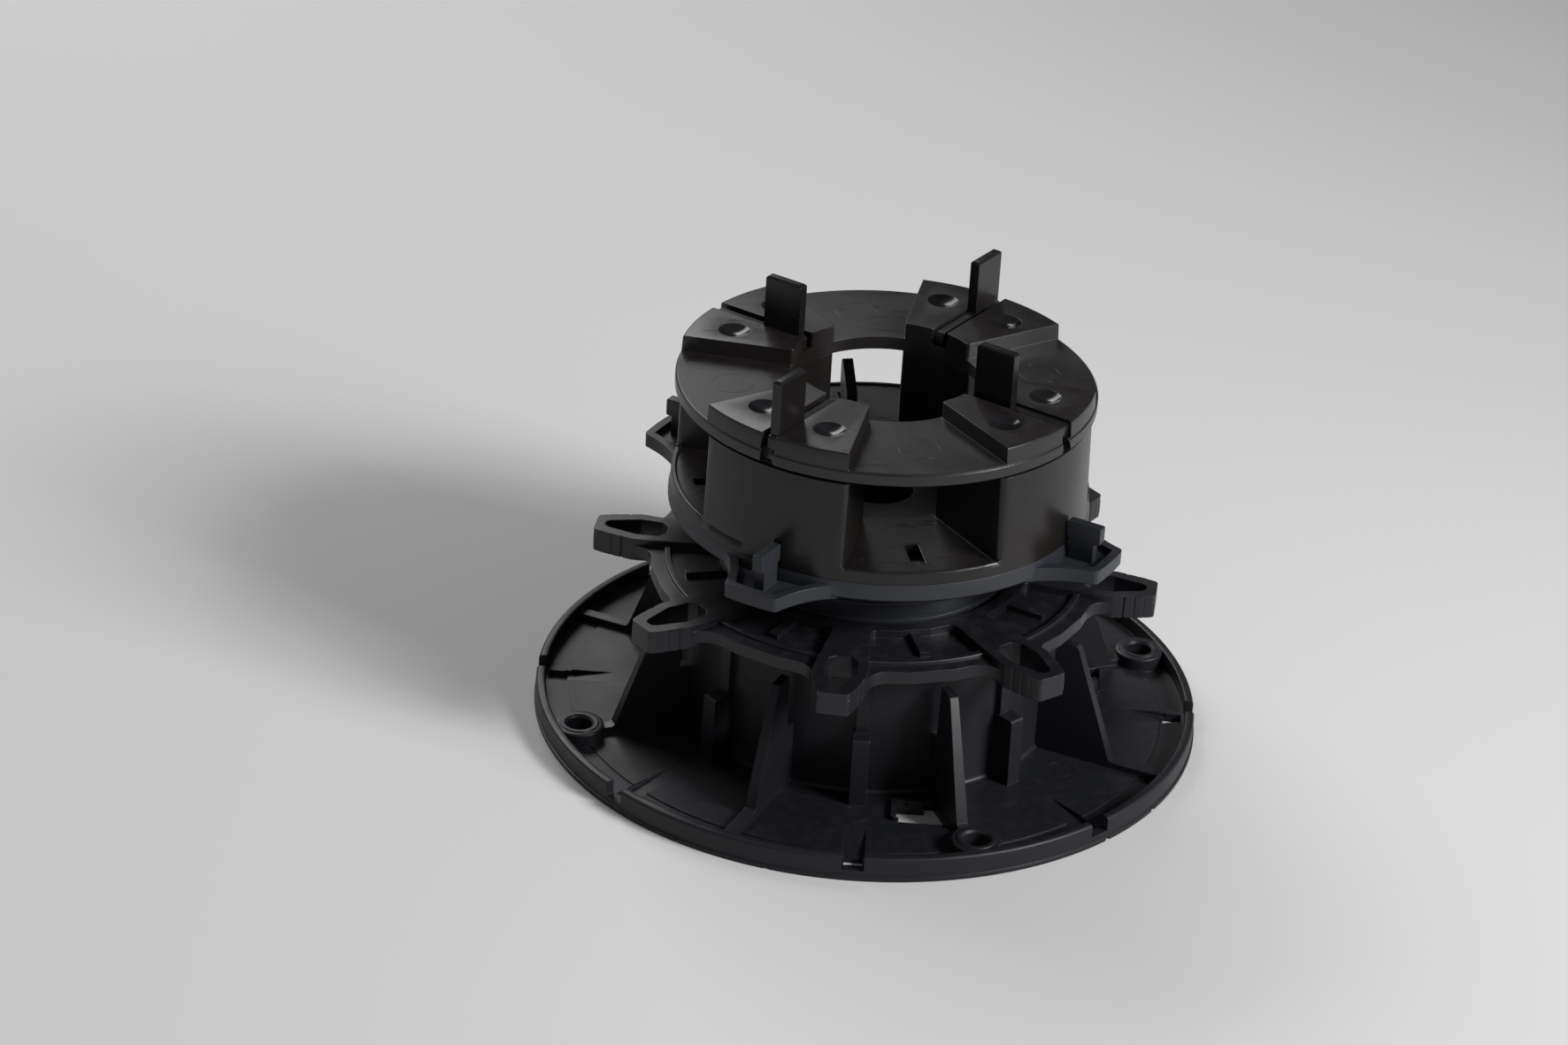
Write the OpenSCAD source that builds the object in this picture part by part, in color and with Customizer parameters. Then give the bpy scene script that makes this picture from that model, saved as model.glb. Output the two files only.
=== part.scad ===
// Screw-adjustable pedestal that carries the corners of four paving slabs.
// The flanged base holds a lugged adjusting ring on its tube. Turning the ring
// raises the hollow stem under the wing ring, with the drum, the slotted head
// plate and the four spacer tabs that set the joints between the slabs.
// Millimetres, +Z up, origin at the centre of the base's underside.

/* [Base flange] */
// Diameter of the base flange
base_d = 200; // [196:1:240]
// Thickness of the flange's floor
floor_t = 3; // [2.6:0.1:4]
// Height of the rim above the ground
rim_h = 7.3; // [6.5:0.1:9]
// Width of the rim
rim_w = 3.1; // [2.4:0.1:4]
// Diameter of the screw holes in the flange
screw_hole_d = 7.6; // [5:0.2:9]
// Diameter of the bosses round the screw holes
screw_boss_d = 14.8; // [13:0.2:17]
// Distance of the screw holes from the flange's edge
screw_inset = 9.4; // [9:0.1:12]
// Width of the notches in the rim
notch_w = 6.4; // [5:0.1:8]
// Width of the slots in the floor behind the notches
edge_slot_w = 5.4; // [4:0.1:6]
// Length of the slots in the floor behind the notches
edge_slot_l = 5.5; // [4:0.1:7]
// Diameter of the drain hole in the middle of the floor
drain_d = 20; // [12:1:40]

/* [Base tube and its ribs] */
// Outer diameter of the base tube
tube_d = 112; // [110:0.5:114]
// Wall of the base tube
tube_wall = 2.8; // [2.2:0.1:3.2]
// Height of the base tube above the ground
tube_h = 44; // [42:0.5:60]
// Thickness of the fins at the floor
fin_foot_t = 3.7; // [3:0.1:5]
// Thickness of the fins at their top
fin_top_t = 2.6; // [2:0.1:3]
// Height of the fins' tops above the ground
fin_h = 40; // [34:0.5:41]
// Width of the slot between the tube and the fins
fin_slot_w = 4.4; // [3:0.1:5]
// Height at which that slot starts
fin_slot_z = 22.5; // [16:0.5:30]
// Length of the fins' flat top
fin_top_l = 7.1; // [5:0.1:9]
// Length of the fins' slope, measured along the floor
fin_slope_l = 12.5; // [10:0.5:15]
// Height of the low rib that runs on to the rim
low_rib_h = 4.9; // [4:0.1:6]
// Width of the posts between the fins
post_w = 5; // [4:0.1:7]
// How far the posts stand out from the tube
post_l = 7.7; // [6:0.1:10]
// Height of the posts above the ground
post_h = 24.4; // [18:0.2:34]
// Width of the rib that runs up the tube above each post
post_rib_w = 3.8; // [2:0.1:4]
// How far that rib stands out from the tube
post_rib_l = 2; // [1:0.1:3]

/* [Clip windows in the floor] */
// Distance from the tube to the windows
window_gap = 6; // [5:0.1:7]
// Length of the windows along the radius
window_l = 9.5; // [8:0.1:12]
// Sideways distance from the notch line to the windows
window_side = 11.5; // [9:0.1:13]
// Width of the lip round the windows
lip_w = 1.6; // [1.2:0.1:2]
// Height of the lip above the floor
lip_h = 1.5; // [1:0.1:3]
// Length of the tongue on the windows' inner side
tongue_l = 8; // [6:0.1:9]
// How far the windows run inwards past the tongue's end
window_corner = 3; // [2:0.1:4]

/* [Adjusting ring] */
// Radius of the lugs' tips
lug_tip_r = 84.5; // [80:0.5:90]
// Thickness of the lugs and the hub
lug_t = 7.1; // [6:0.1:9]
// Greatest width of the lugs
lug_w = 16; // [14:0.2:18]
// Width of the lugs' ends
lug_end_w = 9; // [8:0.2:12]
// Greatest width of the slots through the lugs
lug_slot_w = 9.6; // [7:0.2:10]
// Length of the slots through the lugs
lug_slot_l = 18.8; // [14:0.2:20]
// Width of the spokes where they leave the hub
spoke_w = 11; // [9:0.2:13]
// Radius of the web between the lugs
web_r = 66.8; // [66:0.2:69]
// Depth from the lugs' top to the web's top
web_drop = 2; // [1:0.1:3]
// Thickness of the web
web_t = 4; // [3:0.1:4.5]
// Depth from the lugs' top to the floor of the pockets
pocket_drop = 2.5; // [1.5:0.1:3.5]
// Width of the hub's flat round the bore
hub_w = 4.9; // [4:0.1:6]
// Inner radius of the arc rib that closes the pockets
arc_rib_r = 60.8; // [59:0.2:62]
// Width of the arc rib
arc_rib_w = 1.8; // [1.2:0.1:3]
// Depth from the lugs' top to the arc rib's top
arc_rib_drop = 1.1; // [0.5:0.1:1.4]
// Width of the short rib across each pocket
pocket_rib_w = 2.9; // [2:0.1:4]
// Length of the short rib across each pocket
pocket_rib_l = 11.5; // [8:0.1:13]
// Depth of the grip grooves in the lugs' sides
grip_depth = 0.5; // [0.3:0.1:0.8]
// Turn of the lugs from the +X axis
lug_turn = -6; // [-20:1:20]

/* [Nut inside the adjusting ring] */
// Wall of the nut round the stem
nut_wall = 3; // [2.5:0.1:4]
// Length of the nut below the lugs
nut_l = 24; // [18:0.5:26]
// Wall of the skirt that guides the ring in the tube
skirt_wall = 2.4; // [2:0.1:3]
// Length of the skirt below the lugs
skirt_l = 8; // [7:0.5:10]
// How far the snap bead stands out from the skirt
bead = 0.9; // [0.5:0.1:1]

/* [Stem and wing ring] */
// Diameter of the stem over its thread
stem_d = 80; // [74:0.5:81]
// Wall of the stem
stem_wall = 3.5; // [3:0.1:5]
// Length of the stem below the wing ring
stem_l = 48; // [40:0.5:48]
// Height of the wing ring above the adjusting ring
head_gap = 17.6; // [17.5:0.1:30]
// How far the wing ring stands out from the drum's foot
ring_lap = 0.5; // [0.2:0.1:3]
// Height of the wing ring from the wings' underside to its top
ring_t = 5.9; // [5:0.1:8]
// Radius of the wings' tips
wing_tip_r = 76.5; // [75:0.5:82]
// Width of the wings' tips
wing_tip_w = 16.8; // [14:0.2:22]
// Width of the wings where they leave the ring
wing_root_w = 38; // [30:1:44]
// Thickness of the wings at their lip
wing_t = 4.2; // [3.5:0.1:4.8]
// Width of the lip along the wings' edge
wing_lip_w = 2.6; // [2:0.1:3.5]
// Depth of the recess inside that lip
wing_recess = 2; // [1:0.1:2.4]
// Turn of the wings from the +X axis
wing_turn = -26.8; // [-30:0.1:-20]
// Diameter of the hole in the ring's inner disc
disc_hole_d = 20.4; // [14:0.2:30]
// Thickness of the ring's inner disc
disc_t = 3; // [2:0.1:4]

/* [Clip posts on the wings] */
// Thickness of the T-shaped posts
tee_t = 3; // [2:0.1:4]
// Length of the posts' neck along the radius
tee_neck_l = 7.6; // [6:0.1:9]
// Length of the posts' bar, outwards from the drum
tee_bar_l = 10.7; // [10:0.1:12]
// Height of the posts above the recess
tee_h = 11.7; // [10:0.1:14]
// Height of the posts' bar
tee_bar_h = 5.3; // [4:0.1:7]

/* [Drum] */
// Radius of the drum at its foot
drum_r = 61.9; // [61.5:0.1:62]
// How much smaller the drum's radius is at its top
drum_draft = 0.9; // [0.4:0.1:1.4]
// Height of the drum's outer wall
drum_h = 30.3; // [26:0.1:50]
// Thickness of the drum's floor
drum_floor_t = 3.4; // [2.5:0.1:4]
// Height of the sill along the windows' outer edge
sill_h = 0.6; // [0.3:0.1:1.5]
// Radius of the hole in the drum's floor
drum_hole_r = 27.3; // [24:0.1:30]
// Angle that each of the drum's windows spans
window_angle = 42.8; // [36:0.2:50]
// Wall of the drum
drum_wall = 2.4; // [2:0.1:3]
// Ledge of the drum's floor inside the blocks' inner walls
drum_ledge = 0.6; // [0.4:0.1:1.5]
// Rounding of the drum's upright edges
drum_edge = 2; // [1:0.1:2.4]
// Height of the dark joint line under the head plate
joint_line = 0.9; // [0.5:0.1:1.5]
// Width of the slots in the drum's floor
key_slot_w = 4.1; // [3.8:0.1:5]
// Length of the slots in the drum's floor
key_slot_l = 12.4; // [10:0.1:14]
// Distance of those slots from the drum's edge
key_slot_inset = 6.1; // [5:0.1:8]
// Turn of the drum, the plate and the tabs from the +X axis
head_turn = -31.6; // [-32.5:0.1:-31]

/* [Key blade] */
// Thickness of the key blade
key_t = 3.2; // [2:0.1:3.4]
// Length of the key blade along the radius
key_l = 10.6; // [8:0.1:11]
// Height of the key blade over the wing ring at its outer side
key_h = 16; // [12:0.1:20]
// Height that the blade's top loses towards the middle
key_fall = 6.5; // [2:0.1:8]

/* [Head plate] */
// How far the head plate stands out from the drum's top
plate_lap = 0.8; // [0.4:0.1:3]
// Thickness of the head plate
plate_t = 3.9; // [3:0.1:6]
// Radius of the hole in the head plate
plate_hole_r = 28.2; // [27.5:0.1:30]
// Height of the slab pads above the plate
pad_h = 5; // [4.5:0.1:8]
// Angle that each pair of pads spans
pad_angle = 46.4; // [40:0.2:52]
// Step from the plate's edge to the pads
pad_inset = 0.5; // [0.3:0.1:1.5]
// Rounding of the pads' upright edges
pad_edge = 1.6; // [1:0.1:2.5]
// Width of the slots between the pads of a pair
tab_slot_w = 4.7; // [4:0.1:6]
// Diameter of the round dimples in the pads
dimple_d = 9.3; // [6:0.1:10]
// Depth of the dimples
dimple_depth = 1.6; // [0.8:0.1:2.5]
// Distance of the dimples from the axis
dimple_r = 48.3; // [44:0.1:50]
// Depth of the notch in the plate's edge under each slot
edge_notch = 2.6; // [1.5:0.1:3]

/* [Spacer tabs] */
// Thickness of the tabs
tab_t = 3; // [2:0.1:3.8]
// Length of the tabs' foot
tab_foot_l = 31.3; // [28:0.1:32]
// Height of the tabs' foot
tab_foot_h = 4.2; // [3:0.1:4.5]
// Width of the tabs' blade
blade_w = 12.5; // [9:0.1:15]
// Height of the tabs above the head plate
blade_h = 21; // [15:0.5:30]
// Distance from the foot's end to the blade
blade_inset = 1.1; // [0.8:0.1:2]
// Bevel of the blade's top edges
blade_bevel = 0.6; // [0.3:0.1:0.9]

/* [Clearances] */
// Gap between the tube and the adjusting ring on top of it
seat_gap = 0.3; // [0.2:0.05:0.6]
// Radial gap between the stem's thread and the nut's bore
thread_gap = 1.3; // [0.8:0.1:2]
// Radial gap between the tube and the ring's skirt
skirt_gap = 0.5; // [0.3:0.05:0.6]
// Gap between the drum and the key blade and clip posts beside it
key_gap = 0.3; // [0.2:0.05:0.4]

/* [Hidden] */

// Base
base_r = base_d / 2;
rim_in = base_r - rim_w;
tube_r = tube_d / 2;
tube_in = tube_r - tube_wall;
fin_turn = 22.5;
fin_in = tube_r + fin_slot_w;
fin_out = fin_in + fin_top_l;
fin_foot = fin_out + fin_slope_l;
post_r = tube_r + post_l;
screw_r = base_r - screw_inset;
edge_slot_r = rim_in - 0.9 - edge_slot_l;
floor_step_r = edge_slot_r - 1;
tube_lip_h = 2.7;
tube_lip = 1;
window_in = tube_r + window_gap;
window_out = window_in + window_l;
tongue_end = window_side + tongue_l;
// Adjusting ring
lug_z = tube_h + seat_gap;
ring_top = lug_z + lug_t;
web_top = ring_top - web_drop;
web_z = web_top - web_t;
bore_r = stem_d / 2 + thread_gap;
hub_r = bore_r + hub_w;
lug_slot_in = lug_tip_r - 2.9 - lug_slot_l;
lug_shoulder_r = lug_tip_r - 12.2;
skirt_r = tube_in - tube_lip - skirt_gap;
// Wing ring and stem
ring_r = drum_r + ring_lap;
wing_z = ring_top + head_gap;
wing_ring_top = wing_z + ring_t;
recess_z = wing_z + wing_t - wing_recess;
stem_r = stem_d / 2;
stem_z = wing_z - stem_l;
tee_r = wing_tip_r - 9.3;
tee_bar_in = drum_r + key_gap;
// Drum and head plate
drum_top_r = drum_r - drum_draft;
plate_r = drum_top_r + plate_lap;
floor_z = wing_ring_top + drum_floor_t;
drum_top = wing_ring_top + drum_h;
plate_z = drum_top + joint_line;
plate_top = plate_z + plate_t;
pad_r = plate_r - pad_inset;
key_slot_out = drum_r - key_slot_inset;
key_slot_in = key_slot_out - key_slot_l;
key_turn = head_turn + 135;
blade_turns = [0, 90, 180, 270];
// A hair's overlap where pieces of one moulding grow into each other
o = 0.2;
// Smoothness of round forms and of rounded outlines
$fn = 96;
edge_fn = 32;

// Points along an arc round [cx, cy]
function arc(cx, cy, r, a0, a1, n = 5) =
    [for (i = [0:n]) let (a = a0 + (a1 - a0) * i / n) [cx + r * cos(a), cy + r * sin(a)]];
// Points on one ring sector's outer or inner arc
function sweep(r, a0, a1, n = 16) = arc(0, 0, r, a0, a1, n);
// A quadratic curve from p to q that bends towards c
function bend(p, c, q, n = 8) =
    [for (i = [0:n]) let (t = i / n) (1 - t) * (1 - t) * p + 2 * t * (1 - t) * c + t * t * q];

// Rounds the corners of an outline: r on the outer ones, f in the inner ones
module soften(r, f) {
    offset(r = -f, $fn = edge_fn) offset(delta = f)
        offset(r = r, $fn = edge_fn) offset(delta = -r) children();
}
// A flat outline in the radius-height plane, extruded sideways to width w
module upright(w) {
    rotate([90, 0, 0]) linear_extrude(w, center = true) children();
}
// Sector outline between two radii and two angles
module sector(r0, r1, a0, a1) {
    polygon(concat(sweep(r1, a0, a1), sweep(r0, a1, a0)));
}

// Base: flange, floor and tube in one revolved profile
module base_shell() {
    rim_round = 1;
    rim_step = 0.4;
    rim_side = base_r - rim_step;
    rotate_extrude() polygon(concat(
        [[drain_d / 2, 0], [base_r, 0], [base_r, 1.1], [rim_side, 1.3]],
        arc(rim_side - rim_round, rim_h - rim_round, rim_round, 0, 90),
        arc(rim_in + rim_step, rim_h - rim_step, rim_step, 90, 180, 3),
        [[rim_in, floor_t - rim_step], [floor_step_r, floor_t - rim_step], [floor_step_r, floor_t]],
        arc(tube_r + 2, floor_t + 1.5, 1.5, 270, 180),
        [[tube_r, tube_h - 0.6], [tube_r - 0.6, tube_h],
         [tube_in - tube_lip, tube_h], [tube_in - tube_lip, tube_h - tube_lip_h],
         [tube_in, tube_h - tube_lip_h - tube_lip], [tube_in, floor_t], [drain_d / 2, floor_t]]));
}
module fin() {
    intersection() {
        upright(fin_foot_t) polygon([
            [tube_r - o, floor_t - o], [rim_in + o, floor_t - o], [rim_in + o, low_rib_h],
            [fin_foot + 1, low_rib_h], [fin_foot, low_rib_h + 0.6], [fin_out, fin_h - 0.8],
            [fin_out - 0.8, fin_h], [fin_in, fin_h], [fin_in, fin_slot_z], [tube_r - o, fin_slot_z]]);
        rotate([90, 0, 90]) linear_extrude(base_r) polygon([
            [-fin_foot_t / 2, 0], [fin_foot_t / 2, 0],
            [fin_top_t / 2, fin_h + o], [-fin_top_t / 2, fin_h + o]]);
    }
}
module post() {
    upright(post_w) polygon([
        [tube_r - o, floor_t - o], [post_r + 0.4, floor_t - o], [post_r, post_h - 0.5],
        [post_r - 0.5, post_h], [tube_r - o, post_h]]);
    upright(post_rib_w) polygon([
        [tube_r - tube_wall / 2, post_h - o], [tube_r + post_rib_l + 0.3, post_h - o],
        [tube_r + post_rib_l, tube_h - 1], [tube_r + post_rib_l - 1, tube_h - 0.2], [tube_r - tube_wall / 2, tube_h - 0.2]]);
}
module screw_boss() {
    boss_r = screw_boss_d / 2;
    // The ring on the boss's top, as a share of its radius
    step_r = boss_r * 0.76;
    translate([screw_r, 0, 0]) rotate_extrude() polygon(concat(
        [[0, floor_t / 2], [boss_r + 0.2, floor_t / 2]],
        arc(boss_r - 0.6, rim_h - 1.1, 0.6, 0, 90, 3),
        [[step_r + 0.2, rim_h - 0.5], [step_r, rim_h - 0.2], [0, rim_h - 0.2]]));
}
module screw_hole() {
    hole_r = screw_hole_d / 2;
    translate([screw_r, 0, 0]) {
        translate([0, 0, -1]) cylinder(r = hole_r, h = rim_h + 2);
        translate([0, 0, rim_h - 0.9]) cylinder(r1 = hole_r, r2 = hole_r + 1, h = 1);
    }
}
// Notch in the rim, the slot in the floor behind it and the ramp that leads to it
module edge_notch_cut() {
    ramp_l = 14;
    ramp_drop = 1.8;
    translate([rim_in - 1, -notch_w / 2, floor_t]) cube([rim_w + 2, notch_w, rim_h]);
    translate([edge_slot_r, -edge_slot_w / 2, -1]) cube([edge_slot_l, edge_slot_w, floor_t + 2]);
    upright(notch_w - 0.2) polygon([
        [edge_slot_r - ramp_l, floor_t], [edge_slot_r + 1, floor_t - ramp_drop],
        [edge_slot_r + 1, floor_t + o], [edge_slot_r - ramp_l, floor_t + o]]);
}
// The clip windows run from the notch line's side to the fin beside them
module window_outline() {
    corner_in = window_in - window_corner;
    // Distance of the fin's flank from the notch line at radius r
    function flank(r) = r * tan(fin_turn) - fin_foot_t / 2 / cos(fin_turn) - o;
    soften(0.8, 0) polygon([
        [window_in, window_side], [window_out, window_side], [window_out, flank(window_out)],
        [corner_in, flank(corner_in)], [corner_in, tongue_end], [window_in, tongue_end]]);
}
module window_lip() {
    groove_w = 0.9;
    difference() {
        translate([window_in - lip_w, window_side - lip_w, floor_t - o])
            linear_extrude(lip_h + o) soften(1.2, 0)
                square([window_l + lip_w, tongue_l + lip_w]);
        // Upright groove in the tongue's face
        translate([window_in - groove_w / 2, window_side + tongue_l * 0.3, floor_t / 2])
            cube([groove_w, groove_w, lip_h + floor_t]);
    }
}
// Half-round notches under the flange's edge
module drip_notches() {
    notch_r = 1;
    for (a = [-120.5, -104, -43, -30]) rotate([0, 90, a])
        translate([0, 0, rim_in + 1]) cylinder(r = notch_r, h = rim_w);
}
module base_plate() {
    color("#1c1e23") difference() {
        union() {
            base_shell();
            for (k = [0:7]) rotate(fin_turn + k * 45) fin();
            for (k = [0:7]) rotate(k * 45) post();
            for (k = [0:3]) rotate(fin_turn + k * 90) screw_boss();
            for (k = [0:3]) rotate(k * 90) window_lip();
        }
        for (k = [0:3]) rotate(fin_turn + k * 90) screw_hole();
        for (k = [0:7]) rotate(k * 45) edge_notch_cut();
        drip_notches();
        for (k = [0:3]) rotate(k * 90) translate([0, 0, -1]) linear_extrude(floor_t + lip_h + 2)
            window_outline();
    }
}

// Adjusting ring: outlines of one arm, of all arms and of the web
module lug_outline() {
    polygon([
        [0, -spoke_w / 2], [hub_r, -spoke_w / 2], [lug_shoulder_r - 2, -lug_w / 2],
        [lug_shoulder_r, -lug_w / 2], [lug_tip_r - 4.2, -lug_w / 2 + 2], [lug_tip_r, -lug_end_w / 2],
        [lug_tip_r, lug_end_w / 2], [lug_tip_r - 4.2, lug_w / 2 - 2], [lug_shoulder_r, lug_w / 2],
        [lug_shoulder_r - 2, lug_w / 2], [hub_r, spoke_w / 2], [0, spoke_w / 2]]);
}
module lug_slot_outline() {
    half = lug_slot_w / 2;
    slot_out = lug_slot_in + lug_slot_l;
    soften(0.6, 0) polygon([
        [lug_slot_in, -half + 2.6], [lug_slot_in + 1.9, -half + 0.5], [lug_slot_in + 8.8, -half],
        [slot_out - 1.2, -half + 2.7], [slot_out, -half + 3.8], [slot_out, half - 3.8],
        [slot_out - 1.2, half - 2.7], [lug_slot_in + 8.8, half], [lug_slot_in + 1.9, half - 0.5],
        [lug_slot_in, half - 2.6]]);
}
module grip_grooves() {
    for (x = [3, 6.2, 9.2], side = [-1, 1])
        translate([lug_shoulder_r + x, side * (lug_w / 2 - (x > 8 ? 2 : 0.2 * x))])
            circle(r = grip_depth, $fn = 8);
}
module each_lug() {
    for (k = [0:7]) rotate(lug_turn + k * 45) children();
}
module arms_outline() {
    difference() {
        soften(1.6, 2) {
            circle(r = hub_r);
            each_lug() lug_outline();
        }
        each_lug() grip_grooves();
        each_lug() lug_slot_outline();
    }
}
module web_outline() {
    difference() {
        soften(1, 7) {
            circle(r = web_r);
            each_lug() lug_outline();
        }
        each_lug() grip_grooves();
        each_lug() lug_slot_outline();
    }
}
module adjusting_ring() {
    pocket_z = ring_top - pocket_drop;
    color("#24272d") difference() {
        union() {
            translate([0, 0, lug_z]) linear_extrude(lug_t) arms_outline();
            difference() {
                translate([0, 0, web_z]) linear_extrude(web_t) web_outline();
                translate([0, 0, pocket_z]) cylinder(r = arc_rib_r, h = lug_t);
            }
            rotate_extrude() polygon([
                [arc_rib_r, pocket_z - o], [arc_rib_r + arc_rib_w, pocket_z - o],
                [arc_rib_r + arc_rib_w, ring_top - arc_rib_drop - 0.3],
                [arc_rib_r + arc_rib_w - 0.3, ring_top - arc_rib_drop],
                [arc_rib_r, ring_top - arc_rib_drop]]);
            for (k = [0:7]) rotate(lug_turn + (k + 0.5) * 45)
                translate([hub_r - o, -pocket_rib_w / 2, pocket_z - o])
                    cube([pocket_rib_l + o, pocket_rib_w, ring_top - 0.9 - pocket_z + o]);
            nut_and_skirt();
        }
        nut_bore();
    }
}
// The nut hangs below the hub, the skirt runs in the tube and snaps under its lip
module nut_and_skirt() {
    skirt_z = lug_z - skirt_l;
    bead_z = tube_h - tube_lip_h - tube_lip - 0.6;
    rotate_extrude() polygon([
        [bore_r - o, lug_z - nut_l], [bore_r + nut_wall, lug_z - nut_l],
        [bore_r + nut_wall, web_z + o], [bore_r - o, web_z + o]]);
    rotate_extrude() polygon([
        [skirt_r - skirt_wall, skirt_z], [skirt_r, skirt_z], [skirt_r + bead, bead_z - 1.2],
        [skirt_r + bead, bead_z], [skirt_r, bead_z + bead / 2], [skirt_r, lug_z + o],
        [skirt_r - skirt_wall, web_z + o]]);
    rotate_extrude() polygon([
        [bore_r, lug_z], [skirt_r, lug_z], [skirt_r, web_z + o], [bore_r, web_z + o]]);
}
module nut_bore() {
    mouth = 1.2;
    rotate_extrude() polygon(concat(
        [[0, lug_z - nut_l - 1], [bore_r, lug_z - nut_l - 1]],
        arc(bore_r + mouth, ring_top - mouth, mouth, 180, 90),
        [[bore_r + mouth, ring_top + 1], [0, ring_top + 1]]));
}

// Wing ring with its stem, clip posts and key blade in one moulding
module wing_outline() {
    flare = (wing_root_w - wing_tip_w) / 2;
    root_x = ring_r * cos(asin(wing_root_w / 2 / ring_r)) - 1;
    tip_x = wing_tip_r * cos(asin(wing_tip_w / 2 / wing_tip_r));
    side = bend([root_x, wing_root_w / 2], [root_x + 6, wing_tip_w / 2 + flare * 0.28],
                [tip_x, wing_tip_w / 2]);
    soften(1.6, 0) polygon(concat(
        [[0, -wing_root_w / 2]], [for (p = side) [p[0], -p[1]]],
        sweep(wing_tip_r, -asin(wing_tip_w / 2 / wing_tip_r), asin(wing_tip_w / 2 / wing_tip_r), 6),
        [for (i = [len(side) - 1:-1:0]) side[i]], [[0, wing_root_w / 2]]));
}
module clip_post() {
    bar_z = recess_z + tee_h - tee_bar_h;
    upright(tee_t) soften(0.5, 0) {
        translate([tee_r - tee_neck_l / 2, recess_z - 1]) square([tee_neck_l, bar_z - recess_z + 2]);
        translate([tee_bar_in, bar_z]) square([tee_bar_l, tee_bar_h]);
    }
}
module wing_ring() {
    bevel = 2.5;
    rotate_extrude() polygon([
        [disc_hole_d / 2, wing_ring_top - disc_t - 0.9], [stem_r, wing_ring_top - disc_t - 0.9],
        [stem_r, wing_z + 0.3], [ring_r - 1, wing_z + 0.3], [ring_r, wing_z + 1.2],
        [ring_r, wing_ring_top - bevel], [ring_r - 0.5, wing_ring_top],
        [stem_r + 1.5, wing_ring_top], [stem_r + 1.2, wing_ring_top - 0.9],
        [disc_hole_d / 2, wing_ring_top - 0.9]]);
}
module stem() {
    rotate_extrude() polygon([
        [stem_r - stem_wall, stem_z], [stem_r - 1, stem_z], [stem_r, stem_z + 1],
        [stem_r, wing_z + 1], [stem_r - stem_wall, wing_ring_top - disc_t]]);
}
module key_blade() {
    key_in = key_slot_in + key_gap;
    rotate(key_turn) upright(key_t) polygon([
        [key_in, wing_ring_top - 2], [key_in + key_l, wing_ring_top - 2],
        [key_in + key_l, wing_ring_top + key_h - 1], [key_in + key_l - 1.2, wing_ring_top + key_h],
        [key_in + 1, wing_ring_top + key_h - key_fall], [key_in, wing_ring_top + key_h - key_fall - 1.2]]);
}
module screw_head() {
    color("#3a3f47") union() {
        wing_ring();
        stem();
        difference() {
            for (k = [0:3]) rotate(wing_turn + k * 90) difference() {
                translate([0, 0, wing_z]) linear_extrude(wing_t) wing_outline();
                translate([0, 0, recess_z]) linear_extrude(wing_t)
                    offset(delta = -wing_lip_w) wing_outline();
            }
            cylinder(r = ring_r - 1, h = wing_ring_top * 2);
        }
        for (k = [0:3]) rotate(wing_turn + k * 90) clip_post();
        key_blade();
    }
}

// Drum: four hollow blocks between four windows on one ring-shaped floor
block_half = 45 - window_angle / 2;
module block_outline() {
    soften(drum_edge, 0) sector(drum_hole_r + drum_ledge, drum_r + 2 * drum_edge, -block_half, block_half);
}
// Drum's outer surface, with the step that leaves the dark line under the head plate
module drum_cone() {
    rotate_extrude() polygon([
        [drum_hole_r, floor_z - o], [drum_r - drum_draft * drum_floor_t / drum_h, floor_z - o],
        [drum_top_r, drum_top], [drum_top_r - drum_wall / 2, drum_top],
        [drum_top_r - drum_wall / 2, plate_z], [drum_hole_r, plate_z]]);
}
// Takes the corner off a block's outer upright edge and leans with the drum's draft
module edge_cutter() {
    lean = atan(drum_draft / drum_h);
    shift = 0.05;
    translate([drum_r, 0, wing_ring_top]) rotate([0, -lean, 0])
        translate([0, 0, drum_floor_t + sill_h + 0.3]) linear_extrude(drum_h)
            polygon(concat(
                [[3, -drum_edge], [3, 3], [-drum_edge, 3]],
                arc(shift - drum_edge, shift - drum_edge, drum_edge, 90, 0, 6)));
}
module riser_drum() {
    sill_out = drum_r - 0.1;
    color("#221d1b") difference() {
        union() {
            rotate_extrude() polygon([
                [drum_hole_r, wing_ring_top], [drum_r, wing_ring_top],
                [sill_out, floor_z + sill_h - 0.4], [sill_out - 0.4, floor_z + sill_h],
                [sill_out - 1.3, floor_z + sill_h], [sill_out - 1.7, floor_z], [drum_hole_r, floor_z]]);
            intersection() {
                drum_cone();
                for (k = [0:3]) rotate(head_turn + k * 90) translate([0, 0, wing_ring_top])
                    linear_extrude(drum_h + 2 * joint_line) block_outline();
            }
        }
        for (k = [0:3], side = [0, 1]) rotate(head_turn + k * 90) mirror([0, side, 0])
            rotate(block_half) edge_cutter();
        for (k = [0:3]) rotate(head_turn + k * 90) intersection() {
            translate([0, 0, floor_z]) linear_extrude(plate_z) offset(delta = -drum_wall) block_outline();
            cylinder(r = drum_top_r - drum_wall, h = plate_z * 2);
        }
        for (k = [0:3]) rotate(head_turn + 45 + k * 90)
            translate([key_slot_in, -key_slot_w / 2, wing_ring_top - 1])
                linear_extrude(drum_floor_t + 2) soften(0.8, 0) square([key_slot_l, key_slot_w]);
    }
}

// Head plate: one pad, its mirrored twin and the slot between them
module pad_outline() {
    soften(pad_edge, 0) intersection() {
        sector(plate_hole_r - 0.4, plate_r + 2 * pad_edge, 0, pad_angle / 2);
        translate([0, tab_slot_w / 2]) square(base_r);
    }
}
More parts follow.
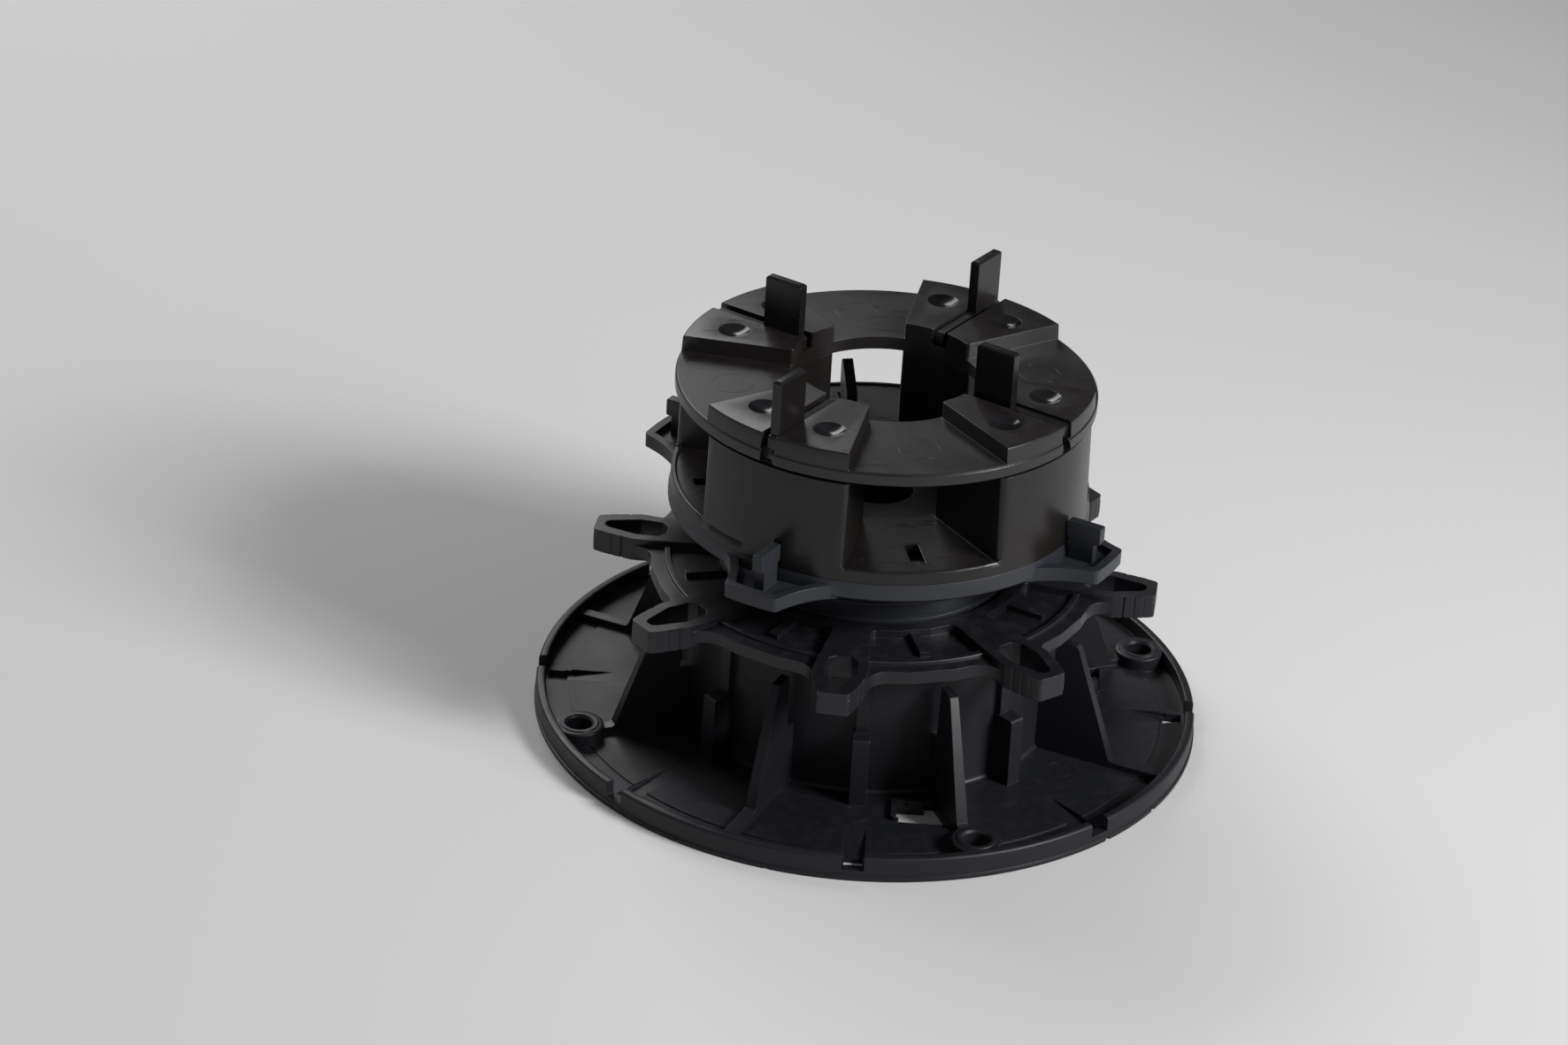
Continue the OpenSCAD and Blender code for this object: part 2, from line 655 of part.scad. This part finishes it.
// Height profile of all pads: slanted at the plate's edge, rounded along the top
module pad_ring() {
    pad_top = plate_top + pad_h;
    rotate_extrude() polygon(concat(
        [[plate_hole_r - 1, plate_top - o], [pad_r + 0.2, plate_top - o]],
        arc(pad_r - 0.6, pad_top - 0.5, 0.5, 0, 90, 3), [[plate_hole_r - 1, pad_top]]));
}
module dimples() {
    // Ball whose cap has the dimple's width and depth
    ball_r = (dimple_d * dimple_d / 4 + dimple_depth * dimple_depth) / 2 / dimple_depth;
    dimple_shift = 1.7;
    for (side = [-1, 1]) rotate(side * (pad_angle / 4 + dimple_shift))
        translate([dimple_r, 0, plate_top + pad_h - dimple_depth + ball_r]) sphere(r = ball_r);
}
module head_plate() {
    color("#26201d") difference() {
        union() {
            rotate_extrude() polygon([
                [plate_hole_r - 1, plate_z], [plate_r - 0.4, plate_z], [plate_r, plate_z + 0.4],
                [plate_r, plate_top - 0.6], [plate_r - 0.6, plate_top], [plate_hole_r - 1, plate_top]]);
            intersection() {
                pad_ring();
                for (k = [0:3], side = [0, 1]) rotate(head_turn + k * 90) mirror([0, side, 0])
                    translate([0, 0, plate_z]) linear_extrude(plate_t + pad_h + 1) pad_outline();
            }
        }
        translate([0, 0, plate_z - 1]) cylinder(r = plate_hole_r, h = plate_t + pad_h + 2);
        for (k = [0:3]) rotate(head_turn + k * 90) {
            dimples();
            // Notch through the plate's edge, upright on one side and slanted on the other
            translate([plate_r - edge_notch, 0, 0]) rotate([90, 0, 90]) linear_extrude(edge_notch + 1)
                polygon([[0.2 - tab_slot_w / 2, plate_z - 1], [tab_slot_w / 2 + 0.5, plate_z - 1],
                         [tab_slot_w / 2 - 1.7, plate_top + 1], [0.2 - tab_slot_w / 2, plate_top + 1]]);
        }
    }
}

// Spacer tab k: a foot lying in the plate's slot and an upright blade near one end
module spacer_tab(k, inner) {
    foot_in = plate_hole_r + 0.8;
    blade_in = inner ? foot_in + blade_inset : foot_in + tab_foot_l - blade_inset - blade_w;
    color("#201b19") rotate(head_turn + blade_turns[k])
        translate([0, (tab_slot_w - tab_t) / 2 - 0.1, plate_top]) union() {
            upright(tab_t) soften(0.8, 0) translate([foot_in, 0]) square([tab_foot_l, tab_foot_h]);
            intersection() {
                upright(tab_t) translate([blade_in, tab_foot_h - 1.5])
                    soften(1, 0) square([blade_w, blade_h - tab_foot_h + 1.5]);
                rotate([90, 0, 90]) linear_extrude(plate_r) polygon([
                    [-tab_t / 2, 0], [tab_t / 2, 0], [tab_t / 2, blade_h - blade_bevel],
                    [tab_t / 2 - blade_bevel, blade_h], [-tab_t / 2 + blade_bevel, blade_h],
                    [-tab_t / 2, blade_h - blade_bevel]]);
            }
        }
}
module spacer_tab_1() { spacer_tab(0, true); }
module spacer_tab_2() { spacer_tab(1, false); }
module spacer_tab_3() { spacer_tab(2, true); }
module spacer_tab_4() { spacer_tab(3, false); }

base_plate();
adjusting_ring();
screw_head();
riser_drum();
head_plate();
spacer_tab_1();
spacer_tab_2();
spacer_tab_3();
spacer_tab_4();
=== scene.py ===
# %% [markdown]
# # A screw-adjustable paving pedestal
# The solids of the pedestal come ready from the CAD model. This lesson gives
# them their moulded edges, their plastic finishes, the fine detail that a mould
# leaves, a soft studio light and a camera.

# %% Load the frame
import math

import bmesh
import bpy
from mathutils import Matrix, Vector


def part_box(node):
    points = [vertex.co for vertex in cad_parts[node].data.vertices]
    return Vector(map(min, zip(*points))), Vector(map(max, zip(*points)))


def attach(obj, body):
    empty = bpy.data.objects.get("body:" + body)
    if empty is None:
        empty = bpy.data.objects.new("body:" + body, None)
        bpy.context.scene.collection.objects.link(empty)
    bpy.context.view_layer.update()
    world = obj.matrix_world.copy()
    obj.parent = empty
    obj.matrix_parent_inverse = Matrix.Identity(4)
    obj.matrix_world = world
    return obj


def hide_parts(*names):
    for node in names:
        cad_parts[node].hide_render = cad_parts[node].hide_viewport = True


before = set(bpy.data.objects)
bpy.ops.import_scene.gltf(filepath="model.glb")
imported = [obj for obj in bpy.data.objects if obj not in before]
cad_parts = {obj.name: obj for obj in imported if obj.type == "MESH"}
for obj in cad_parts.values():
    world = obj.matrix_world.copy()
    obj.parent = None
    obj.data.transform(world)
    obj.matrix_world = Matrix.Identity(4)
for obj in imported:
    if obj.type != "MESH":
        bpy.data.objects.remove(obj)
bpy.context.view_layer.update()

MM = 0.001

# %% [markdown]
# ## Camera
# The camera stands at 30 degrees above the pedestal's foot and leans a few
# degrees to one side, which is how the flange comes to look slightly tipped. A
# long lens of 100 mm keeps the round parts from stretching.

# %% Camera
CAMERA_PLACE = (0, -1.1457, 0.6628)
CAMERA_TURN_DEG = (62.223, -3.001, 2.955)

camera_data = bpy.data.cameras.new("camera")
camera_data.lens = 100
camera_data.sensor_width = 36
camera_data.clip_end = 20
camera = bpy.data.objects.new("camera", camera_data)
camera.location = CAMERA_PLACE
camera.rotation_euler = [math.radians(angle) for angle in CAMERA_TURN_DEG]
bpy.context.scene.collection.objects.link(camera)
bpy.context.scene.camera = camera
bpy.context.scene.view_settings.view_transform = "Standard"
print("camera with a lens of", camera_data.lens, "mm")

# %% [markdown]
# ## Helpers for materials
# A material is a small net of nodes. The same few steps come back in all of
# them: noise, a smooth step from one range to another, a product and a blend of
# two colours. Each gets a helper, so a material further down reads as a recipe.

# %% Material and node
def new_material(name):
    """A material with its node tree and its shader node."""
    material = bpy.data.materials.new(name)
    material.use_nodes = True
    tree = material.node_tree
    return material, tree, tree.nodes["Principled BSDF"]


def add(tree, kind, **values):
    """A new node; values that the node itself has are set on it, the rest on its inputs."""
    node = tree.nodes.new(kind)
    for key, value in values.items():
        if hasattr(node, key):
            setattr(node, key, value)
        else:
            node.inputs[key.replace("_", " ")].default_value = value
    return node

# %% Steps that come back
def noise(tree, place, scale, detail=3, roughness=0.5):
    """Noise from 0 to 1 at a place."""
    texture = add(tree, "ShaderNodeTexNoise", Scale=scale, Detail=detail, Roughness=roughness)
    tree.links.new(place, texture.inputs["Vector"])
    return texture.outputs["Fac"]


def ramp(tree, value, low, high, to_low, to_high):
    """The value taken smoothly from the range low to high over to to_low to to_high."""
    step = add(tree, "ShaderNodeMapRange", interpolation_type="SMOOTHSTEP",
               From_Min=low, From_Max=high, To_Min=to_low, To_Max=to_high)
    tree.links.new(value, step.inputs["Value"])
    return step.outputs["Result"]


def times(tree, a, b):
    """The product of two values."""
    product = add(tree, "ShaderNodeMath", operation="MULTIPLY")
    tree.links.new(a, product.inputs[0])
    tree.links.new(b, product.inputs[1])
    return product.outputs["Value"]


def blend(tree, factor, a, b):
    """Colour a where the factor is 0 and b where it is 1; each is a socket or (r, g, b)."""
    mixed = add(tree, "ShaderNodeMix", data_type="RGBA")
    tree.links.new(factor, mixed.inputs["Factor"])
    for socket, value in ((mixed.inputs["A"], a), (mixed.inputs["B"], b)):
        if isinstance(value, tuple):
            socket.default_value = (*value, 1)
        else:
            tree.links.new(value, socket)
    return mixed.outputs["Result"]

# %% [markdown]
# ## Floor and backdrop
# The pedestal stands on a pale seamless sweep: a floor that turns up into a wall
# with no edge that could show. It starts as one edge, which is drawn out for the
# floor, spun through a quarter turn for the bend and drawn up for the wall. Its
# paper is pale in front. Towards the far right it is painted darker, to grey: a
# painted shade that stands in for the light falling off.

# %% Seamless sweep
HALF_WIDTH, DEPTH, BEND_R, WALL_H = 4, 7, 1.5, 3


def drawn_out(bm, edges, step):
    """Extrude the edges by a step, and give back the new edges and vertices."""
    made = bmesh.ops.extrude_edge_only(bm, edges=edges)["geom"]
    new_verts = [item for item in made if isinstance(item, bmesh.types.BMVert)]
    new_edges = [item for item in made if isinstance(item, bmesh.types.BMEdge)]
    bmesh.ops.translate(bm, verts=new_verts, vec=step)
    return new_edges, new_verts


def seamless_sweep():
    """The floor, the bend behind the pedestal and the wall, as one mesh."""
    bm = bmesh.new()
    front = -HALF_WIDTH
    left = bm.verts.new((-HALF_WIDTH, front, 0))
    right = bm.verts.new((HALF_WIDTH, front, 0))
    floor_edges, floor_verts = drawn_out(bm, [bm.edges.new((left, right))], (0, DEPTH, 0))
    bend = bmesh.ops.spin(bm, geom=floor_edges + floor_verts, cent=(0, front + DEPTH, BEND_R),
                          axis=(1, 0, 0), angle=math.radians(90), steps=16)["geom_last"]
    drawn_out(bm, [item for item in bend if isinstance(item, bmesh.types.BMEdge)], (0, 0, WALL_H))
    bmesh.ops.recalc_face_normals(bm, faces=bm.faces)
    mesh = bpy.data.meshes.new("sweep")
    bm.to_mesh(mesh)
    bm.free()
    mesh.shade_smooth()
    return bpy.data.objects.new("sweep", mesh)


sweep = seamless_sweep()
# Just below the flange, so that the two faces don't flicker
sweep.location.z = -0.2 * MM
bpy.context.scene.collection.objects.link(sweep)
print("sweep", len(sweep.data.polygons), "faces")

# %% Pale paper with painted shade
NEAR_PAPER, PAINTED_SHADE_PAPER = (0.64, 0.64, 0.635), (0.13, 0.135, 0.13)
# The direction in which the painted shade darkens the paper, and where it starts and ends along
# it
PAINTED_SHADE_DIRECTION, PAINTED_SHADE_FROM, PAINTED_SHADE_TO = (0.75, 0.65, 0), 0.05, 1.35

paper, tree, shader = new_material("paper_with_painted_shade")
along = add(tree, "ShaderNodeVectorMath", operation="DOT_PRODUCT")
along.inputs[1].default_value = PAINTED_SHADE_DIRECTION
tree.links.new(add(tree, "ShaderNodeTexCoord").outputs["Object"], along.inputs[0])
# Painted shade: the paper's colour goes from pale to dark grey towards the far right, standing in
# for light falling off
painted_shade = ramp(tree, along.outputs["Value"], PAINTED_SHADE_FROM, PAINTED_SHADE_TO, 0, 1)
tree.links.new(blend(tree, painted_shade, NEAR_PAPER, PAINTED_SHADE_PAPER), shader.inputs["Base Color"])
shader.inputs["Roughness"].default_value = 0.85
shader.inputs["Specular IOR Level"].default_value = 0.2
sweep.data.materials.append(paper)
print("paper from", NEAR_PAPER, "to", PAINTED_SHADE_PAPER)

# %% [markdown]
# ## Light
# Dark plastic shows mostly what it reflects, so the lamps are soft boxes: a key
# from the right, low enough to reach under the ring, and a long box behind that
# gives the upper faces their sheen. A weak sky fills the shadows.

# %% Lamps and world
def soft_box(name, azimuth, elevation, distance, width, height, power):
    """An area lamp that looks at the pedestal's middle from a compass direction."""
    lamp = bpy.data.lights.new(name, "AREA")
    lamp.shape = "RECTANGLE"
    lamp.size = width
    lamp.size_y = height
    lamp.energy = power
    box = bpy.data.objects.new(name, lamp)
    around, up = math.radians(azimuth), math.radians(elevation)
    middle = 60 * MM
    box.location = (distance * math.cos(up) * math.cos(around),
                    distance * math.cos(up) * math.sin(around),
                    middle + distance * math.sin(up))
    box.rotation_euler = (math.radians(90) - up, 0, around + math.radians(90))
    bpy.context.scene.collection.objects.link(box)
    print(name, "lamp,", power, "W")


soft_box("key", azimuth=-28, elevation=31, distance=1.7, width=0.5, height=0.5, power=33)
soft_box("back", azimuth=122, elevation=35, distance=2.0, width=1.5, height=0.8, power=21)

world = bpy.data.worlds.new("studio")
world.use_nodes = True
sky = world.node_tree.nodes["Background"]
sky.inputs["Color"].default_value = (0.93, 0.95, 1, 1)
sky.inputs["Strength"].default_value = 0.16
bpy.context.scene.world = world

# %% [markdown]
# ## Colour of the plastic
# The lower pieces are a cool blue-black, the upper ones a warmer black. The
# colour of each drifts a little from place to place. Pale specks and a thin haze
# of dust lie on the faces that look up, so both are multiplied by a value that
# the Z of the surface's normal gives.

# %% Dusty colour
SPECKS, HAZE = (0.33, 0.32, 0.30), (0.30, 0.29, 0.28)


def looking_up(tree):
    """1 on faces that look up, 0 on upright and lower ones."""
    axes = add(tree, "ShaderNodeSeparateXYZ")
    normal = add(tree, "ShaderNodeNewGeometry").outputs["Normal"]
    tree.links.new(normal, axes.inputs["Vector"])
    return ramp(tree, axes.outputs["Z"], 0.3, 0.9, 0, 1)


def dusty_colour(tree, place, facing_up, color, dust):
    """The drifting colour under its specks and haze; dust is their share from 0 to 1."""
    darker = tuple(0.8 * part for part in color)
    lighter = tuple(1.25 * part for part in color)
    drift = blend(tree, noise(tree, place, 28), darker, lighter)
    specks = ramp(tree, noise(tree, place, 1900, detail=1), 0.735, 0.77, 0, 0.35 * dust)
    patches = ramp(tree, noise(tree, place, 45, detail=4), 0.5, 0.75, 0.3, 1)
    haze = ramp(tree, noise(tree, place, 260, detail=6), 0.42, 0.85, 0, 0.05 * dust)
    lying = times(tree, times(tree, specks, patches), facing_up)
    speckled = blend(tree, lying, drift, SPECKS)
    return blend(tree, times(tree, haze, facing_up), speckled, HAZE)

# %% [markdown]
# ## Gloss of the plastic
# Satin plastic is never evenly glossy. Its roughness drifts round a mean, and
# long fine scuffs, which are rubbed smoother, are taken off it. The scuffs are
# noise that a Mapping node has stretched and turned.

# %% Drifting gloss
def drifting_gloss(tree, place, roughness):
    """The roughness, drifting round its mean and lower along the scuffs."""
    stretched = add(tree, "ShaderNodeMapping", Scale=(1, 7, 3), Rotation=(0.3, 0.5, 0.8))
    tree.links.new(place, stretched.inputs["Vector"])
    scuffs = noise(tree, stretched.outputs["Vector"], 70, detail=6, roughness=0.7)
    drift = ramp(tree, noise(tree, place, 34), 0.3, 0.7, roughness - 0.04, roughness + 0.05)
    gloss = add(tree, "ShaderNodeMath", operation="MULTIPLY_ADD")
    gloss.inputs[1].default_value = -0.09
    tree.links.new(ramp(tree, scuffs, 0.56, 0.7, 0, 1), gloss.inputs[0])
    tree.links.new(drift, gloss.inputs[2])
    return gloss.outputs["Value"]

# %% [markdown]
# ## Surface of the plastic
# The mould rounds each edge by a few tenths of a millimetre, which the Bevel
# node shows as a thin bright line along it. Over that lies a very fine grain,
# as bump. On the drum's floor a milling cutter has left faint arcs in the
# mould, round a point just outside the front window: rings of a Wave node,
# moved there and faded out in patches.

# %% Rounded edges, grain and cutter arcs
CUTTER_CENTRE = (22 * MM, -71 * MM)


def rounded_grain(tree, place, edge):
    """The normal with its edges rounded by so many mm and a fine grain."""
    bevel = add(tree, "ShaderNodeBevel", samples=6, Radius=edge * MM)
    grain = add(tree, "ShaderNodeBump", Strength=0.12, Distance=0.03 * MM)
    tree.links.new(noise(tree, place, 2400, detail=2), grain.inputs["Height"])
    tree.links.new(bevel.outputs["Normal"], grain.inputs["Normal"])
    return grain.outputs["Normal"]


def cutter_arcs(tree, place, facing_up, height, below):
    """The normal below with cutter arcs so many mm high, on faces that look up."""
    moved = add(tree, "ShaderNodeMapping", Location=(-CUTTER_CENTRE[0], -CUTTER_CENTRE[1], 0))
    arcs = add(tree, "ShaderNodeTexWave", wave_type="RINGS", rings_direction="Z",
               wave_profile="SIN", Scale=105, Distortion=0.6, Detail=1)
    bump = add(tree, "ShaderNodeBump", Strength=0.5, Distance=height * MM)
    tree.links.new(place, moved.inputs["Vector"])
    tree.links.new(moved.outputs["Vector"], arcs.inputs["Vector"])
    patches = ramp(tree, noise(tree, place, 60), 0.42, 0.6, 0, 1)
    shown = times(tree, arcs.outputs["Fac"], times(tree, facing_up, patches))
    tree.links.new(shown, bump.inputs["Height"])
    tree.links.new(below, bump.inputs["Normal"])
    return bump.outputs["Normal"]

# %% [markdown]
# ## The finishes
# Colour, gloss and surface come together in one function, and each moulding
# gets its own values. The upper pieces are a little glossier than the lower
# ones, and the ring, which hands turn, holds the most dust.

# %% Finishes
def plastic(name, color, roughness, dust=0.5, edge=0.35, shine=0.4, swirls=0):
    """Satin plastic: (r, g, b) colour, mean roughness, share of dust, edge rounding in mm,
    specular level, and the height in mm of cutter arcs on faces that look up."""
    material, tree, shader = new_material(name)
    place = add(tree, "ShaderNodeTexCoord").outputs["Object"]
    facing_up = looking_up(tree)
    surface = rounded_grain(tree, place, edge)
    if swirls:
        surface = cutter_arcs(tree, place, facing_up, swirls, surface)
    colour = dusty_colour(tree, place, facing_up, color, dust)
    tree.links.new(colour, shader.inputs["Base Color"])
    tree.links.new(drifting_gloss(tree, place, roughness), shader.inputs["Roughness"])
    tree.links.new(surface, shader.inputs["Normal"])
    shader.inputs["Specular IOR Level"].default_value = shine
    print(name, "with", len(tree.nodes), "nodes")
    return material


FINISHES = {
    "base_plastic": plastic("blue_black_base_plastic", (0.0085, 0.009, 0.0118), 0.45,
                            dust=0.5, shine=0.32),
    "ring_plastic": plastic("blue_black_ring_plastic", (0.0085, 0.009, 0.0118), 0.40,
                            dust=0.9, shine=0.4),
    "stem_plastic": plastic("slate_stem_plastic", (0.019, 0.0205, 0.026), 0.44, dust=0.6),
    "drum_plastic": plastic("warm_black_drum_plastic", (0.0092, 0.0078, 0.0072), 0.31,
                            dust=0.4, shine=0.36, swirls=0.06),
    "plate_plastic": plastic("warm_black_plate_plastic", (0.0105, 0.0090, 0.0083), 0.33,
                             dust=0.7, shine=0.5),
    "tab_plastic": plastic("warm_black_tab_plastic", (0.0085, 0.0074, 0.0070), 0.28, dust=0.4),
}

# %% [markdown]
# ## The mouldings
# Each CAD solid is carried over as a copy. Its loose triangles are welded, flat
# faces are joined up, and the shading is smooth with a crease wherever two
# faces meet at more than 32 degrees.

# %% Dress the solids
WELD, FLAT_DEG, CREASE_DEG = 0.002 * MM, 0.5, 32


def welded_copy(node):
    """The mesh of a CAD solid, welded and shaded smooth between its creases."""
    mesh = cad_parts[node].data.copy()
    bm = bmesh.new()
    bm.from_mesh(mesh)
    bmesh.ops.remove_doubles(bm, verts=bm.verts, dist=WELD)
    bmesh.ops.dissolve_limit(bm, angle_limit=math.radians(FLAT_DEG),
                             verts=bm.verts, edges=bm.edges)
    bm.to_mesh(mesh)
    bm.free()
    if mesh.attributes.get("custom_normal"):
        mesh.attributes.remove(mesh.attributes["custom_normal"])
    mesh.shade_smooth()
    mesh.set_sharp_from_angle(angle=math.radians(CREASE_DEG))
    return mesh


def placed(mesh, name, body, slot):
    """An object for the mesh, in its slot's finish, riding on its body."""
    mesh.materials.clear()
    mesh.materials.append(FINISHES[slot])
    piece = bpy.data.objects.new(name, mesh)
    bpy.context.scene.collection.objects.link(piece)
    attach(piece, body)
    print(name, len(mesh.polygons), "faces on", body)
    return piece


MOULDINGS = {
    "base_plate": ("flanged_base", "base", "base_plastic"),
    "adjusting_ring": ("lugged_ring", "ring", "ring_plastic"),
    "screw_head": ("winged_stem", "head", "stem_plastic"),
    "riser_drum": ("windowed_drum", "head", "drum_plastic"),
    "head_plate": ("slotted_plate", "head", "plate_plastic"),
    **{f"spacer_tab_{k}": (f"joint_tab_{k}", "head", "tab_plastic") for k in (1, 2, 3, 4)},
}
pieces = {}
for node, (name, body, slot) in MOULDINGS.items():
    pieces[node] = placed(welded_copy(node), name, body, slot)
    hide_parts(node)

# %% [markdown]
# ## Polished dimples
# The eight round dimples in the pads were pressed by polished pins, so they are
# much glossier than the satin face round them. Their faces are found by where
# they lie and get a finish of their own.

# %% Dimples
# The dimples lie between these two distances from the axis
DIMPLES_FROM, DIMPLES_TO = 43 * MM, 53.5 * MM
# A tab's foot lies on the plate, so its underside is at the height of the plate's top
plate_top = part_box("spacer_tab_1")[0][2]
pad_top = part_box("head_plate")[1][2]


def in_dimple(face):
    """Whether a face of the plate looks up from just below the top of a pad."""
    reach = math.hypot(face.center.x, face.center.y)
    near = DIMPLES_FROM < reach < DIMPLES_TO
    sunk = plate_top + 2 * MM < face.center.z < pad_top - 0.02 * MM
    return near and sunk and face.normal.z > 0.5


plate_mesh = pieces["head_plate"].data
plate_mesh.materials.append(plastic("polished_dimple_plastic", (0.008, 0.0082, 0.009), 0.2,
                                    dust=0.1, edge=0.05, shine=0.3))
dimple_faces = [face for face in plate_mesh.polygons if in_dimple(face)]
for face in dimple_faces:
    face.material_index = 1
print("polished dimple faces", len(dimple_faces))

# %% [markdown]
# ## Thread
# A coarse thread runs up the stem. It is one trapezium, spun round the axis
# while it climbs by the pitch at each turn, and the first and the last section
# close its ends. Its foot is sunk into the stem, and its crest stays a quarter
# of a millimetre inside the bore of the adjusting ring.

# %% Thread ridge
STEM_R, CREST_R, PITCH = 40 * MM, 41.05 * MM, 6 * MM
SUNK, HALF_FOOT, HALF_CREST = 0.3 * MM, 1.5 * MM, 0.6 * MM
TURNS, STEPS_A_TURN = 7.4, 72


def thread_mesh(foot):
    """The ridge, from the height of its foot upwards."""
    axis = foot + HALF_FOOT
    corners = [(STEM_R - SUNK, axis - HALF_FOOT), (CREST_R, axis - HALF_CREST),
               (CREST_R, axis + HALF_CREST), (STEM_R - SUNK, axis + HALF_FOOT)]
    bm = bmesh.new()
    section = bm.faces.new([bm.verts.new((r, 0, z)) for r, z in corners])
    bmesh.ops.spin(bm, geom=[section], cent=(0, 0, 0), axis=(0, 0, 1),
                   angle=2 * math.pi * TURNS, steps=int(TURNS * STEPS_A_TURN),
                   dvec=(0, 0, PITCH / STEPS_A_TURN), use_duplicate=False)
    bmesh.ops.remove_doubles(bm, verts=bm.verts, dist=0.001 * MM)
    bmesh.ops.recalc_face_normals(bm, faces=bm.faces)
    mesh = bpy.data.meshes.new("thread_ridge")
    bm.to_mesh(mesh)
    bm.free()
    mesh.shade_smooth()
    mesh.set_sharp_from_angle(angle=math.radians(40))
    return mesh


stem_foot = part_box("screw_head")[0][2]
thread = placed(thread_mesh(stem_foot), "thread_ridge", "head", "stem_plastic")
thread_top = max(vertex.co.z for vertex in thread.data.vertices)
print("thread from z", round(stem_foot / MM, 1), "to", round(thread_top / MM, 1), "mm")

# %% [markdown]
# ## Ejector marks
# Pins that push a moulding out of its mould leave thin round outlines. Each is
# a low ring that stands about a tenth of a millimetre out of the face: a small
# triangle spun once round the pin's own axis.

# %% Ejector rings
MARK_WIDTH, MARK_HEIGHT = 0.4 * MM, 0.09 * MM


def pin_mark(bm, x, y, z, radius):
    """One low ring round (x, y), its foot sunk into the face at height z."""
    profile = [(radius - MARK_WIDTH, -MARK_HEIGHT), (radius - MARK_WIDTH / 2, MARK_HEIGHT),
               (radius, -MARK_HEIGHT)]
    verts = [bm.verts.new((x + r, y, z + h)) for r, h in profile]
    edges = [bm.edges.new(pair) for pair in zip(verts, verts[1:] + verts[:1])]
    bmesh.ops.spin(bm, geom=verts + edges, cent=(x, y, 0), axis=(0, 0, 1),
                   angle=2 * math.pi, steps=40, use_merge=True, use_duplicate=False)


def pin_marks(name, azimuths, reach, height, radius):
    """One mesh of rings, at these angles round the axis and this distance from it."""
    bm = bmesh.new()
    for azimuth in azimuths:
        around = math.radians(azimuth)
        pin_mark(bm, reach * math.cos(around), reach * math.sin(around), height, radius)
    bmesh.ops.remove_doubles(bm, verts=bm.verts, dist=0.001 * MM)
    bmesh.ops.recalc_face_normals(bm, faces=bm.faces)
    mesh = bpy.data.meshes.new(name)
    bm.to_mesh(mesh)
    bm.free()
    mesh.shade_smooth()
    return mesh

# %% Marks on the plate and the base
# The whole head stands turned by this angle on the base
HEAD_TURN_DEG = -31.6
# The height of the base's floor
FLOOR_TOP = 3 * MM

plate_marks = pin_marks("plate_pin_marks", [HEAD_TURN_DEG + 45 + 90 * k for k in range(4)],
                        reach=45.8 * MM, height=plate_top, radius=6.2 * MM)
placed(plate_marks, "plate_pin_marks", "head", "plate_plastic")
base_marks = pin_marks("base_pin_marks", (-136, -90, -31, 44, 90, 149),
                       reach=68.8 * MM, height=FLOOR_TOP, radius=4.2 * MM)
placed(base_marks, "base_pin_marks", "base", "base_plastic")
